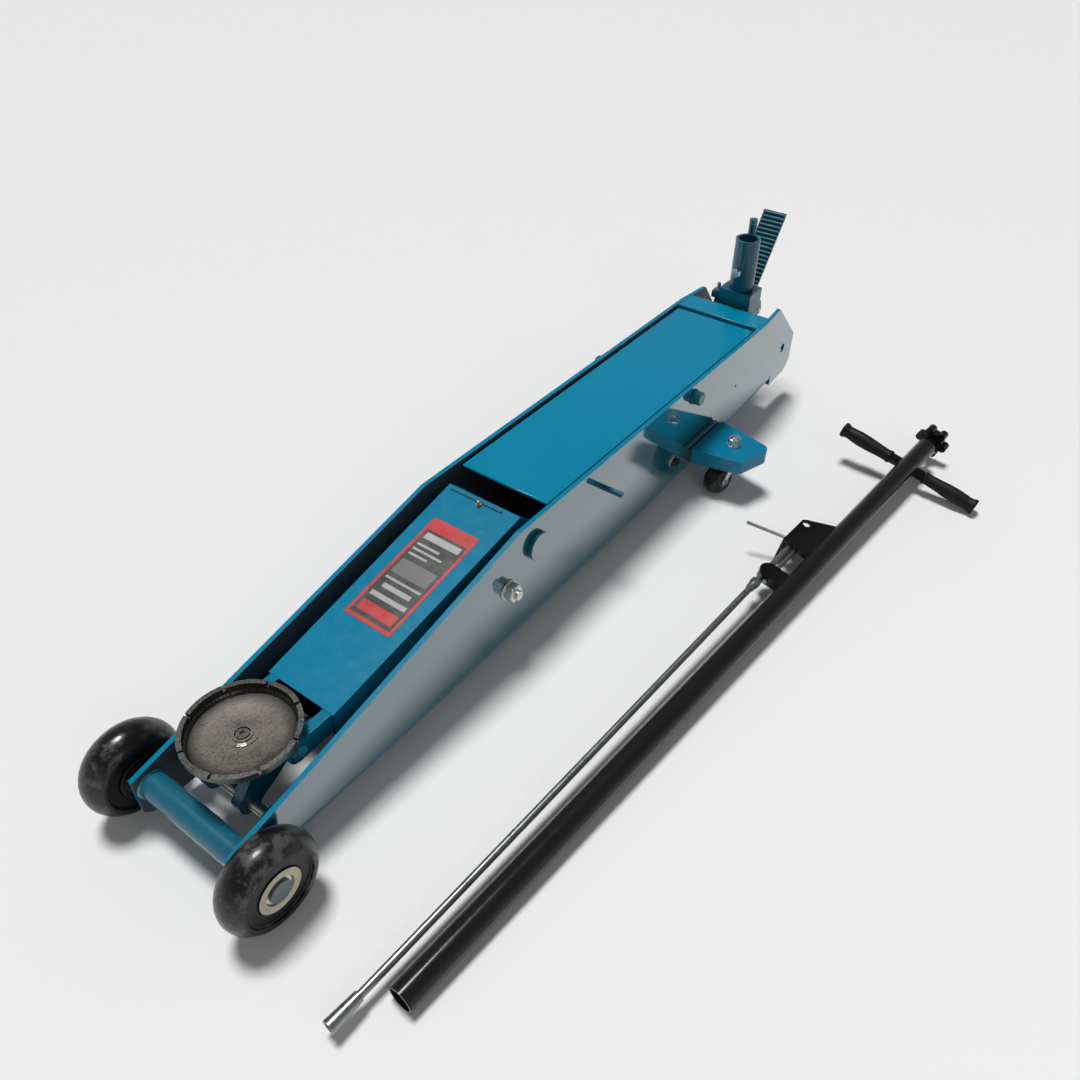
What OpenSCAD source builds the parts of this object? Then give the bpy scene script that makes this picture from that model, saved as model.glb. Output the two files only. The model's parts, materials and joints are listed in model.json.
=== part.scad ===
// Long-chassis hydraulic trolley jack with its detached pump handle.
// It is drawn with the front axle at X = 0, +X towards the saddle, +Y to the left and Z = 0 on the floor.
// in_place() then moves everything so that the origin is the middle of the whole part's footprint.

/* [Chassis] */
// Half width over the two side plates
plate_out = 99; // [95:0.5:105]
// Thickness of a side plate
plate_t = 8; // [6:0.5:10]
// Height of the straight top edge of the side plates
plate_top = 226; // [215:1:240]
// Height of the lower edge amidships
plate_low = 14; // [10:1:20]
// Radius of the rolled lower edge
roll_r = 25; // [20:1:30]
// Width of the inward flange behind the rolled edge
flange_w = 30; // [20:1:35]
// Distance of the bend in the top edge behind the front axle
kink_x = 552; // [540:1:565]
// Distance of the upper rear corner behind the front axle
tail_top_x = 1440; // [1430:1:1450]
// Distance of the rearmost edge behind the front axle
tail_x = 1520; // [1510:1:1530]

/* [Front wheels] */
// Radius of a front wheel
wheel_r = 70; // [65:1:75]
// Width of a front wheel
wheel_w = 53.5; // [50:0.5:60]
// Radius of the crown across the tread
crown_r = 33; // [30:1:60]
// Radius of the front axle
axle_r = 16; // [14:0.5:18]
// Outer radius of the tube between the side plates
crossbar_r = 20; // [18:0.5:24]

/* [Lift arm] */
// Distance of the arm pivot behind the front axle
pivot_x = 590; // [585:1:595]
// Height of the arm pivot
pivot_z = 177; // [172:1:180]
// Radius of the arm pivot shaft
pivot_r = 20; // [16:0.5:22]
// Distance of the saddle head pivot behind the front axle
head_x = 130; // [125:1:135]
// Height of the saddle head pivot
head_z = 118; // [115:1:121]
// Half width of the arm at its rear end
arm_half_rear = 71; // [68:0.5:72]
// Half width of the arm at its front end
arm_half_front = 64; // [60:0.5:68]
// Thickness of the arm's walls
arm_t = 6; // [5:0.5:8]

/* [Saddle] */
// Radius over the saddle's rim
saddle_r = 79.5; // [70:0.5:84]
// Height of the saddle's rim
saddle_top = 162; // [160:1:166]
// Number of grooves cut in the rim
saddle_grooves = 8; // [4:1:12]

/* [Rear casters] */
// Radius of a caster wheel
caster_r = 29; // [24:1:29]
// Distance of a caster's swivel axis behind the front axle
caster_x = 1130; // [1126:1:1134]
// Distance of a caster's swivel axis from the middle of the jack
caster_y = 167; // [166:1:170]
// Trail of a caster wheel
caster_trail = 36; // [30:1:36]

/* [Hydraulics] */
// Radius of the ram
ram_r = 18; // [15:0.5:20]
// Length of the lever that the ram pushes
lever_l = 110; // [105:1:112]
// Radius of the pressure cylinder
cylinder_r = 36; // [32:1:40]
// Radius of the oil reservoir
reservoir_r = 50; // [45:1:55]

/* [Handle] */
// Length of the handle tube
tube_l = 1415; // [1380:5:1450]
// Outer radius of the handle tube
tube_r = 19; // [17:0.5:19]
// Inner radius of the handle tube
tube_bore_r = 16; // [14:0.5:16.5]
// Distance of the cross bar from the handle's lower end
tee_x = 1331; // [1320:1:1340]
// Length over the two grips
tee_l = 288; // [270:1:300]
// Radius of a grip
grip_r = 15; // [13:0.5:15]

/* [Hidden] */

$fn = 64;
hull_fn = 32;
eps = 0.01;
big = 400;

// Colours
teal = [0.0, 0.45, 0.60];
navy = [0.06, 0.22, 0.30];
steel = [0.75, 0.76, 0.78];
cast = [0.33, 0.31, 0.29];
black = [0.05, 0.05, 0.06];
cream = [0.78, 0.75, 0.62];
brass = [0.75, 0.60, 0.30];

// Clearances
run = 0.05;       // radial, between a shaft and the bore it turns in
tight = 0.05;     // radial, between a fixed pin and its hole
gap = 0.3;        // between neighbours on different bodies

// Reach of a caster bracket from the middle of the jack
cap_reach = 227;

// Middle of the footprint of jack and handle together, seen from the front axle
rear_most = -1564;
front_most = wheel_r;
left_most = 589.6;
right_most = -cap_reach;
origin_x = (rear_most + front_most) / 2;
origin_y = (left_most + right_most) / 2;

// Chassis
plate_in = plate_out - plate_t;
flange_y = plate_out - roll_r - flange_w;
seam = 0.03;
web_low = roll_r + 0.1;
nose_x = 24;
nose_top = 96;
nose_low = 22;
nose_chamfer = 11;
tail_low = 58;
// Lower edge from front to rear, as [distance, height]
rail_path = [[-66, 22], [-330, plate_low], [-960, plate_low], [-1430, 52]];
rear_hole = [-1469, 127];
rear_hole_r = 9.5;
side_hole = [-1253, 137];
side_hole_r = 3;
bar_at = [-1072, 202];
bar_r = 9;
trunnion_r = 7;
anchor_at = [-780, 170];
anchor_r = 5;
anchor_stub = 35;
end_bolt_at = [-1015, 89.5];
end_bolt_r = 6;
cover_front = -635;
cover_rear = -1328;
cover_half = 86;
cover_t = 5;
cover_top = 222;

// Front wheels
wheel_in = 110;
wheel_out = wheel_in + wheel_w;
bush_r = 32;
face_recess = 5;
face_recess_r = 50;

// Arm and links, in the side view as [x, z]
P = [-pivot_x, pivot_z];
H = [-head_x, head_z];
link_dx = 73;
link_dz = -40;
Q = P + [link_dx, link_dz];
R = H + [link_dx, link_dz];
link_r = 8;
link_in = 76;
link_out = 86;
lever_angle = 27.5;
L = P + lever_l * [-sin(lever_angle), -cos(lever_angle)];
lever_pin_r = 10;
spring_hook = P + 70 * [-sin(lever_angle), -cos(lever_angle)];
hook_r = 5;
spring_y = 46;
arm_rear = [-587, 219];
arm_front = [-190, 137];
head_pin_r = 12;
pivot_tube_r = 28;
ear_in = 44;
ear_out = 60;

// Saddle
saddle_x = -95;
saddle_bottom = 138.3;
saddle_floor = 146;
saddle_wall = 7;
stem_r = 12;
stem_low = 106;

// Casters
cap_top = 92;
mount_t = 11;
cap_t = 5;
cap_wall = 5;
cap_back = -58;
cap_front = 61;
caster_w = 30;
caster_swing = -12;
stud_r = 8;
fork_hub_low = 70;
caster_axle_r = 3;

// Hydraulics
ram_z = 74;
ram_front = L[0] - 22;
ram_rear = -930;
cylinder_front = -702;
end_plate_front = -1000;
end_plate_rear = -1032;
reservoir_z = 92;
reservoir_rear = -1290;
block_rear = -1472;
block_top = 150;
plunger_r = 9;
plunger_x = -1455;
plunger_top = 192.5;

// Pump yoke
yoke_at = [-1425, 195];
yoke_half = 36;
yoke_slot = 20;
yoke_top = 252;
yoke_pin_r = 9;
socket_x = -1433;
socket_r = 25;
socket_bore_r = 19.3;
socket_top = 357;
socket_bolt_z = 296;
roller_arm = 34;
roller_angle = 12;
roller_r = 7;
roller_pin_r = 4;
roller_at = yoke_at + roller_arm * [-cos(roller_angle), sin(roller_angle)];
valve_y = -47;
valve_r = 6;
joint_gap = 4.5;
knuckle_r = 7;
knuckle_h = 14;
stem_top = 241;

// Foot pedal, tread line in the side view
tread_low = [-1470, 250];
tread_high = [-1560, 372];
tread_left = 20;
tread_right = -30;
tread_t = 5;
tread_ribs = 17;

// Handle, lying beside the jack: lower end, heading, rise and roll
handle_at = [-5, 343, 19];
handle_heading = 175.58;
handle_rise = 0.985;
handle_roll = 10.78;
cross_bar_r = 7.5;
knob_x = 1447;
knob_rod_r = 6;
knob_lobes = 6;
key_rear = 1010;
key_front = -74;
key_nut = 840;
key_y_front = 36;
key_turn = 0.92;
key_r = 5.5;
guide_r = 4;
guide_y = 40.8;
bracket_low = [866, 900];
bracket_box = [962, 1044];

// ---------- helpers ----------

// Moves the drawing from the front axle to the part's origin
module in_place() {
    translate([-origin_x, -origin_y, 0]) children();
}

// A shape and its mirror image on the other side of the jack
module both_sides() {
    children();
    mirror([0, 1, 0]) children();
}

// Side-view outline (x, z) given thickness from y0 to y1
module across(y0, y1) {
    translate([0, y1, 0]) rotate([90, 0, 0]) linear_extrude(y1 - y0) children();
}

// Round bar along Y at the side-view point p
module rod_y(p, r, y0, y1) {
    translate([p[0], y0, p[1]]) rotate([-90, 0, 0]) cylinder(r = r, h = y1 - y0);
}

// Round bar along X at height z
module rod_x(x0, x1, z, r, y = 0) {
    translate([x0, y, z]) rotate([0, 90, 0]) cylinder(r = r, h = x1 - x0);
}

// Hexagon bar along Y, width across flats af
module hex_y(p, af, y0, y1) {
    translate([p[0], y0, p[1]]) rotate([-90, 0, 0]) cylinder(r = af / sqrt(3), h = y1 - y0, $fn = 6);
}

// Ring along Y
module ring_y(p, r, bore, y0, y1) {
    difference() {
        rod_y(p, r, y0, y1);
        rod_y(p, bore, y0 - 1, y1 + 1);
    }
}

// Box given by its corners
module block(a, b) {
    translate(a) cube(b - a);
}

// Rounded bar between two side-view points
module capsule(a, b, ra, rb) {
    hull() {
        translate(a) circle(r = ra, $fn = hull_fn);
        translate(b) circle(r = rb, $fn = hull_fn);
    }
}

// ---------- chassis ----------

module plate_outline() {
    polygon([
        [nose_x, nose_top], [nose_x, nose_low + nose_chamfer], [nose_x - nose_chamfer, nose_low],
        [rail_path[0][0], nose_low],
        rail_path[0] + [0, web_low], rail_path[1] + [0, web_low], rail_path[2] + [0, web_low],
        rail_path[3] + [0, web_low], rail_path[3] + [0, 2], [-1500, tail_low], [-tail_x, tail_low + 22],
        [-tail_x, 142], [-tail_top_x, plate_top], [-kink_x, plate_top]
    ]);
}

// Point of the rolled corner at radius r, in the (y, z) plane above the lower edge line
function roll_point(r, a) = [plate_out - roll_r + r * cos(a), roll_r - r * sin(a)];

// Rolled corner and flange
module roll_section() {
    polygon(concat(
        [for (a = [0 : 15 : 90]) roll_point(roll_r, a)],
        [[flange_y, 0], [flange_y, plate_t]],
        [for (a = [90 : -15 : 0]) roll_point(roll_r - plate_t, a)]
    ));
}

// The rolled edge in one length for each straight run of the lower edge
module rolled_edge() {
    over = 5;
    for (i = [0 : len(rail_path) - 2]) {
        front = rail_path[i];
        rear = rail_path[i + 1];
        slope = atan2(front[1] - rear[1], front[0] - rear[0]);
        intersection() {
            translate([rear[0], 0, rear[1]]) rotate([0, -slope, 0]) translate([-over, 0, 0])
                rotate([90, 0, 90]) linear_extrude(norm(front - rear) + 2 * over) roll_section();
            block([rear[0] + seam, flange_y - 1, 0], [front[0] - seam, plate_out + 1, 200]);
        }
    }
}

module side_plate() {
    difference() {
        across(plate_in, plate_out) plate_outline();
        rod_y([0, wheel_r], axle_r + tight, 0, big);
        rod_y(P, pivot_r + tight, 0, big);
        rod_y(Q, link_r + tight, 0, big);
        rod_y(anchor_at, anchor_r + tight, 0, big);
        rod_y(bar_at, trunnion_r + tight, 0, big);
        rod_y(side_hole, side_hole_r, 0, big);
        rod_y(rear_hole, rear_hole_r, 0, big);
        rod_y(end_bolt_at, end_bolt_r + tight, 0, big);
    }
}

module left_lower_rail() {
    color(teal) rolled_edge();
}

module right_lower_rail() {
    color(teal) mirror([0, 1, 0]) rolled_edge();
}

module left_side_plate() {
    color(teal) side_plate();
}

module right_side_plate() {
    color(teal) mirror([0, 1, 0]) side_plate();
}

module front_crossbar() {
    color(teal) ring_y([0, wheel_r], crossbar_r, axle_r + tight, -plate_in, plate_in);
}

module front_axle() {
    clip_in = wheel_out - face_recess - 3;
    clip_r = axle_r - 1.5;
    color(steel) difference() {
        rod_y([0, wheel_r], axle_r, -wheel_out + 1, wheel_out - 1);
        both_sides() ring_y([0, wheel_r], axle_r + 1, clip_r, clip_in, clip_in + 2);
    }
}

module axle_clips() {
    clip_in = wheel_out - face_recess - 3;
    color(steel) both_sides() ring_y([0, wheel_r], axle_r + 4, axle_r - 1.4, clip_in + 0.1, clip_in + 1.9);
}

module top_cover() {
    rib_h = 5;
    rib_y = 60;
    rib_t = 6;
    color(teal) {
        block([cover_rear, -cover_half, cover_top - cover_t], [cover_front, cover_half, cover_top]);
        both_sides() block([cover_rear + 20, rib_y, cover_top - cover_t - rib_h],
                           [cover_front - 20, rib_y + rib_t, cover_top - cover_t]);
    }
}

module rear_cross_plate() {
    front = -1335;
    rear = -1390;
    web_low = 185;
    color(teal) {
        block([rear, -plate_in, plate_top - plate_t], [front, plate_in, plate_top]);
        block([front - 6, -plate_in, web_low], [front, plate_in, plate_top - plate_t + eps]);
    }
}

module cover_support_bar() {
    color(navy) difference() {
        rod_y(bar_at, bar_r, -plate_in, plate_in);
        both_sides() rod_y(bar_at, trunnion_r - 1 + tight, plate_in - 30, plate_in + 1);
    }
}

module trunnion_bolts() {
    head_af = 22;
    head_h = 14;
    washer_r = 15;
    washer_t = 3;
    color(navy) both_sides() {
        rod_y(bar_at, trunnion_r, plate_in + eps, plate_out + eps);
        rod_y(bar_at, trunnion_r - 1, plate_in - 25, plate_in + 1);
        rod_y(bar_at, washer_r, plate_out, plate_out + washer_t);
        hex_y(bar_at, head_af, plate_out + washer_t - eps, plate_out + washer_t + head_h);
    }
}

module arm_pivot_shaft() {
    boss_r = 24;
    boss_h = 9;
    color(navy) {
        rod_y(P, pivot_r, -plate_out - eps, plate_out + eps);
        both_sides() rod_y(P, boss_r, plate_out, plate_out + boss_h);
    }
}

module spring_anchor_rod() {
    reach = plate_out + anchor_stub;
    color(navy) rod_y(anchor_at, anchor_r, -reach, reach);
}

// Envelope of one extension spring with its two eyes
module spring_body() {
    coil_r = 10;
    wire_r = 1.5;
    reach = norm(spring_hook - anchor_at);
    pitch = atan2(anchor_at[1] - spring_hook[1], spring_hook[0] - anchor_at[0]);
    eye_gap = 9;
    translate([anchor_at[0], spring_y, anchor_at[1]]) rotate([0, pitch, 0]) {
        rod_x(eye_gap, reach - eye_gap, 0, coil_r);
        for (at = [0, reach]) translate([at, 0, 0])
            rotate([90, 0, 0]) rotate_extrude() translate([hook_r + gap + wire_r, 0]) circle(r = wire_r);
    }
}

module return_springs() {
    color(steel) both_sides() spring_body();
}

// ---------- hydraulics fixed to the chassis ----------

module cylinder_end_plate() {
    low = 46;
    high = 142;
    color(navy) difference() {
        block([end_plate_rear, -plate_in, low], [end_plate_front, plate_in, high]);
        both_sides() rod_y(end_bolt_at, end_bolt_r + tight, plate_in - 30, plate_in + 1);
    }
}

module end_plate_bolts() {
    washer_r = 12;
    head_r = 9;
    head_h = 9;
    socket_af = 8;
    color(black) both_sides() difference() {
        union() {
            rod_y(end_bolt_at, end_bolt_r, plate_in - 25, plate_out + eps);
            rod_y(end_bolt_at, washer_r, plate_out, plate_out + 2);
            rod_y(end_bolt_at, head_r, plate_out + 2 - eps, plate_out + 2 + head_h);
        }
        hex_y(end_bolt_at, socket_af, plate_out + 6, plate_out + 20);
    }
}

module pressure_cylinder() {
    gland_r = cylinder_r + 4;
    gland_l = 22;
    bore_rear = -955;
    color(navy) difference() {
        union() {
            rod_x(end_plate_front, cylinder_front, ram_z, cylinder_r);
            rod_x(cylinder_front - gland_l, cylinder_front, ram_z, gland_r);
        }
        rod_x(bore_rear, cylinder_front + 1, ram_z, ram_r + run);
    }
}

module oil_reservoir() {
    band_w = 12;
    color(navy) {
        rod_x(reservoir_rear, end_plate_rear, reservoir_z, reservoir_r);
        rod_x(reservoir_rear, reservoir_rear + band_w, reservoir_z, reservoir_r + 3);
    }
}

module pump_block() {
    half = 30;
    low = 62;
    lug_half = 18;
    lug_r = 16;
    valve_lug_low = 136;
    valve_lug_high = 160;
    valve_lug_half = 12;
    color(navy) difference() {
        union() {
            block([block_rear, -half, low], [reservoir_rear, half, block_top]);
            across(-lug_half, lug_half) {
                translate(yoke_at) circle(r = lug_r);
                polygon([
                    yoke_at + [-lug_r, 0], yoke_at + [-lug_r, block_top - yoke_at[1] - 1],
                    yoke_at + [lug_r + 20, block_top - yoke_at[1] - 1], yoke_at + [lug_r, 0]
                ]);
            }
            block([yoke_at[0] - valve_lug_half, valve_y - valve_lug_half, valve_lug_low],
                  [yoke_at[0] + valve_lug_half, -half + eps, valve_lug_high]);
        }
        rod_y(yoke_at, yoke_pin_r + run, -big, big);
        translate([plunger_x, 0, low + 6]) cylinder(r = plunger_r + run, h = big);
        translate([yoke_at[0], valve_y, valve_lug_low + 4]) cylinder(r = valve_r + run, h = big);
    }
}

// ---------- rear casters ----------

// Plan outline of a caster bracket about the swivel axis, inset by d
module cap_plan(d) {
    root = plate_out + mount_t - caster_y;
    corner = 18;
    nose = 12;
    hull() {
        translate([cap_back + d, root - 1]) square([cap_front - cap_back - 2 * d, 2]);
        translate([-16, cap_reach - caster_y - corner]) circle(r = corner - d, $fn = hull_fn);
        translate([36, 30]) circle(r = nose - d, $fn = hull_fn);
    }
}

module caster_bracket() {
    skirt_low = 61;
    tip_low = 65;
    mount_low = 62;
    mount_drop = 4;
    slope_from = -20;
    root = plate_out - caster_y;
    tip = cap_reach - caster_y;
    translate([-caster_x, caster_y, 0]) {
        difference() {
            translate([0, 0, skirt_low]) linear_extrude(cap_top - skirt_low) cap_plan(0);
            translate([0, 0, skirt_low - 1]) linear_extrude(cap_top - cap_t - skirt_low + 1)
                cap_plan(cap_wall);
            translate([-big / 2, 0, 0]) rotate([90, 0, 90]) linear_extrude(big) polygon([
                [slope_from, skirt_low - 1], [slope_from, skirt_low], [tip, tip_low], [tip + 1, skirt_low - 1]
            ]);
            cylinder(r = stud_r + tight, h = big);
        }
        // bar that carries the cap on the side plate, above the wheel's full turn
        block([cap_back, root, mount_low], [cap_front, root + mount_t + 0.5, cap_top - mount_drop]);
    }
}

module left_caster_bracket() {
    color(teal) caster_bracket();
}

module right_caster_bracket() {
    color(teal) mirror([0, 1, 0]) caster_bracket();
}

// Fixed stud with its nut, washer and the thrust race under the bracket
module caster_stud() {
    race_r = 20;
    race_t = 4;
    nut_af = 22;
    nut_h = 12;
    washer_r = 14;
    washer_t = 2.5;
    head_t = 3;
    proud = 18;
    under = cap_top - cap_t;
    translate([-caster_x, caster_y, 0]) {
        translate([0, 0, fork_hub_low - gap - head_t]) cylinder(r = stud_r + 3, h = head_t);
        translate([0, 0, fork_hub_low - gap - eps]) cylinder(r = stud_r, h = cap_top + proud - fork_hub_low);
        translate([0, 0, under - race_t]) cylinder(r = race_r, h = race_t);
        translate([0, 0, cap_top]) cylinder(r = washer_r, h = washer_t);
        translate([0, 0, cap_top + washer_t - eps]) cylinder(r = nut_af / sqrt(3), h = nut_h, $fn = 6);
    }
}

module left_caster_stud() {
    color(steel) caster_stud();
}

module right_caster_stud() {
    color(steel) mirror([0, 1, 0]) caster_stud();
}

// Caster parts are drawn about the swivel axis with the wheel trailing towards +X
module at_caster() {
    translate([-caster_x, caster_y, 0]) rotate([0, 0, caster_swing]) children();
}

// Fork with the axle riveted through its legs
module caster_fork() {
    plate_z = 78;
    plate_h = 4.7;
    leg_t = 3;
    leg_in = caster_w / 2 + 1;
    rivet = leg_in + leg_t + 1.5;
    hub_r = 13;
    plate_r = 21;
    at_caster() {
        difference() {
            union() {
                translate([0, 0, plate_z]) cylinder(r = plate_r, h = plate_h);
                translate([0, 0, fork_hub_low]) cylinder(r = hub_r, h = plate_z - fork_hub_low + eps);
                both_sides() across(leg_in, leg_in + leg_t) polygon([
                    [-14, plate_z + 2], [14, plate_z + 2], [caster_trail + 8, caster_r + 4],
                    [caster_trail + 8, caster_r - 8], [caster_trail - 8, caster_r - 8],
                    [caster_trail - 10, caster_r + 6]
                ]);
            }
            translate([0, 0, fork_hub_low - 1]) cylinder(r = stud_r + run, h = big);
            rod_y([caster_trail, caster_r], caster_r + 1.5, -leg_in, leg_in);
        }
        rod_y([caster_trail, caster_r], caster_axle_r, -rivet, rivet);
        both_sides() rod_y([caster_trail, caster_r], caster_axle_r + 2, leg_in + leg_t - eps, rivet);
    }
}

module left_caster_fork() {
    color(steel) caster_fork();
}

module right_caster_fork() {
    color(steel) mirror([0, 1, 0]) caster_fork();
}

module caster_wheel() {
    half = caster_w / 2;
    crown = 30;
    at_caster() translate([caster_trail, 0, caster_r]) rotate([90, 0, 0]) rotate_extrude() {
        intersection() {
            translate([caster_r - crown, 0]) circle(r = crown);
            translate([caster_axle_r + run, -half]) square([caster_r, 2 * half]);
        }
    }
}

module left_caster_wheel() {
    color(black) caster_wheel();
}

module right_caster_wheel() {
    color(black) mirror([0, 1, 0]) caster_wheel();
}

// ---------- front wheels ----------

module front_wheel() {
    mid = wheel_in + wheel_w / 2;
    translate([0, mid, wheel_r]) rotate([-90, 0, 0]) rotate_extrude() difference() {
        intersection() {
            translate([wheel_r - crown_r, 0]) circle(r = crown_r);
            translate([bush_r + tight, -wheel_w / 2]) square([wheel_r, wheel_w]);
        }
        translate([0, wheel_w / 2 - face_recess]) square([face_recess_r, face_recess + 1]);
        translate([0, -wheel_w / 2 - 1]) square([face_recess_r, face_recess + 1]);
    }
}

module left_front_wheel() {
    color(black) front_wheel();
}

module right_front_wheel() {
    color(black) mirror([0, 1, 0]) front_wheel();
}

module wheel_bush() {
    counterbore_r = axle_r + 5;
    shoulder_r = 24;
    face = wheel_out - face_recess + 2;
    difference() {
        union() {
            ring_y([0, wheel_r], bush_r, axle_r + run, wheel_in + 0.5, face);
            ring_y([0, wheel_r], shoulder_r, axle_r + run, plate_out + 0.4, wheel_in + 1);
        }
        rod_y([0, wheel_r], counterbore_r, wheel_out - face_recess - 4, wheel_out + 1);
    }
}

module left_wheel_bush() {
    color(cream) wheel_bush();
}

module right_wheel_bush() {
    color(cream) mirror([0, 1, 0]) wheel_bush();
}

// ---------- lift arm and saddle ----------

// Side profile of the arm's cheeks and top
module arm_profile() {
    polygon([
        arm_rear, arm_front, [arm_front[0], 94],
        [-540, 138], P + [0, -34], P + [-30, -14], P + [-30, 12]
    ]);
}

// Space under the arm's top, open below and to the rear
module arm_hollow_profile() {
    floor_z = 60;
    behind = arm_rear[0] - 60;
    ahead = arm_front[0] + 1;
    polygon([
        [behind, arm_rear[1] - arm_t], arm_rear - [0, arm_t], [ahead, arm_front[1] - arm_t],
        [ahead, floor_z], [behind, floor_z]
    ]);
}

// Plan of the arm, inset by d
module arm_plan(d) {
    rear = -640;
    front = arm_front[0] + 2;
    polygon([
        [rear, arm_half_rear - d], [arm_rear[0], arm_half_rear - d], [front, arm_half_front - d],
        [front, -arm_half_front + d], [arm_rear[0], -arm_half_rear + d], [rear, -arm_half_rear + d]
    ]);
}

module lift_arm() {
    cheek_in = 22;
    cheek_out = 32;
    low = 60;
    ear_root = [-232, 121];
    tube_half = arm_half_rear - arm_t + 1;
    color(teal) difference() {
        union() {
            difference() {
                intersection() {
                    across(-80, 80) arm_profile();
                    translate([0, 0, low]) linear_extrude(200) arm_plan(0);
                }
                intersection() {
                    across(-80, 80) arm_hollow_profile();
                    translate([0, 0, low - 10]) linear_extrude(220) arm_plan(arm_t);
                }
            }
            rod_y(P, pivot_tube_r, -tube_half, tube_half);
            both_sides() across(cheek_in, cheek_out) capsule(P, L, pivot_tube_r - 2, 18);
            both_sides() across(ear_in, ear_out) capsule(H, ear_root, 17, 16);
            both_sides() rod_y(spring_hook, hook_r, cheek_out - 2, spring_y + 5);
        }
        rod_y(P, pivot_r + run, -100, 100);
        rod_y(L, lever_pin_r + tight, -100, 100);
        rod_y(H, head_pin_r + tight, -100, 100);
    }
}

module lever_pin() {
    half = 34;
    color(steel) rod_y(L, lever_pin_r, -half, half);
}

module head_pin() {
    half = ear_out + 3;
    color(steel) rod_y(H, head_pin_r, -half, half);
}

// Places its children on the top face of the arm, at distance s from its front edge
module on_arm(s) {
    slope = atan2(arm_rear[1] - arm_front[1], arm_front[0] - arm_rear[0]);
    translate([arm_front[0], 0, arm_front[1]]) rotate([0, slope, 0]) translate([-s, 0, 0]) children();
}

module grease_nipple() {
    from_front = 392;
    color(brass) on_arm(from_front) {
        translate([0, 0, -1]) cylinder(r = 4, h = 4, $fn = 6);
        translate([0, 0, 3 - eps]) cylinder(r = 2.6, h = 4);
        translate([0, 0, 8]) sphere(r = 3);
    }
}

module label_plate() {
    label_l = 206;
    label_w = 90;
    front_margin = 132;
    label_t = 0.6;
    color("firebrick") on_arm(front_margin + label_l)
        translate([0, -label_w / 2, 0]) cube([label_l, label_w, label_t]);
}

// Straight link from the chassis bolt to the saddle head's lower pin
module link_rods() {
    eye_r = 17;
    bar_half = 9;
    heading = atan2(Q[1] - R[1], R[0] - Q[0]);
    bar_l = norm(R - Q);
    color(teal) both_sides() difference() {
        union() {
            rod_y(Q, eye_r, link_in, link_out);
            rod_y(R, eye_r, link_in, link_out);
            translate([Q[0], 0, Q[1]]) rotate([0, heading, 0])
                block([0, link_in, -bar_half], [bar_l, link_out, bar_half]);
        }
        rod_y(Q, link_r + run, -big, big);
        rod_y(R, link_r + tight, -big, big);
    }
}

module link_bolts() {
    washer_r = 17;
    nut_af = 27;
    color(steel) both_sides() {
        rod_y(Q, link_r, link_in - 2, plate_out + 24);
        rod_y(Q, washer_r, plate_out, plate_out + 3);
        hex_y(Q, nut_af, plate_out + 3 - eps, plate_out + 17);
    }
}

module link_cross_pin() {
    color(steel) {
        rod_y(R, link_r, -link_out - 2, link_out + 2);
        both_sides() rod_y(R, link_r + 3, link_out + 0.5, link_out + 3.5);
    }
}

module saddle_head() {
    half = 41.5;
    hub_r = 19;
    table_r = 38;
    table_low = 126;
    table_top = 138;
    socket_out = 19;
    lug_in = 24;
    color(navy) difference() {
        union() {
            rod_y(H, hub_r, -half, half);
            translate([saddle_x, 0, table_low]) cylinder(r = table_r, h = table_top - table_low);
            translate([saddle_x, 0, stem_low - 4]) cylinder(r = socket_out, h = 24);
            across(-half + 14, half - 14) polygon([
                H + [0, hub_r - 1], [saddle_x + 30, 130], [saddle_x + 34, table_low], [saddle_x + 20, 104],
                [saddle_x - 10, 98], H + [0, -hub_r + 1]
            ]);
            both_sides() across(lug_in, half) {
                capsule(R, [saddle_x + 10, 118], 18, 14);
                polygon([H + [0, hub_r - 1], [saddle_x + 10, 130], R + [-12, -12], H + [0, -hub_r + 1]]);
            }
        }
        rod_y(H, head_pin_r + run, -100, 100);
        rod_y(R, link_r + 2 * gap, -100, 100);
        translate([saddle_x, 0, stem_low]) cylinder(r = stem_r + run, h = 60);
    }
}

module saddle() {
    groove_w = 4;
    groove_d = 5;
    ring_r = 20.5;
    boss_r = 14;
    lip = 2.5;
    lip_low = saddle_top - 9;
    under_r = 60;
    fillet = 4.5;
    recess_r = 10.5;
    inner_r = saddle_r - saddle_wall;
    color(cast) translate([saddle_x, 0, 0]) difference() {
        rotate_extrude($fn = 128) {
            polygon([
                [0, saddle_bottom], [under_r, saddle_bottom], [saddle_r - lip, saddle_floor + 3],
                [saddle_r - lip, lip_low], [saddle_r, lip_low], [saddle_r, saddle_top],
                [inner_r, saddle_top], [inner_r, saddle_floor + fillet], [inner_r - fillet, saddle_floor],
                [0, saddle_floor]
            ]);
            translate([0, stem_low + 2]) square([stem_r, saddle_floor - stem_low - 6]);
            translate([0, saddle_floor - 1]) square([ring_r, 2.2]);
            translate([0, saddle_floor - 1]) square([boss_r, 4]);
        }
        translate([0, 0, saddle_floor - 1]) cylinder(r = recess_r, h = 10);
        for (i = [0 : saddle_grooves - 1]) rotate([0, 0, (i + 0.5) * 360 / saddle_grooves])
            translate([saddle_r - saddle_wall - 1, -groove_w / 2, saddle_top - groove_d])
                cube([saddle_wall + 2, groove_w, groove_d + 1]);
    }
}

module saddle_screw() {
    head_r = 8.5;
    head_h = 4;
    key_af = 7;
    color(steel) translate([saddle_x, 0, saddle_floor - 1]) difference() {
        cylinder(r = head_r, h = head_h);
        translate([0, 0, 1.5]) cylinder(r = key_af / sqrt(3), h = head_h, $fn = 6);
    }
}

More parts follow.
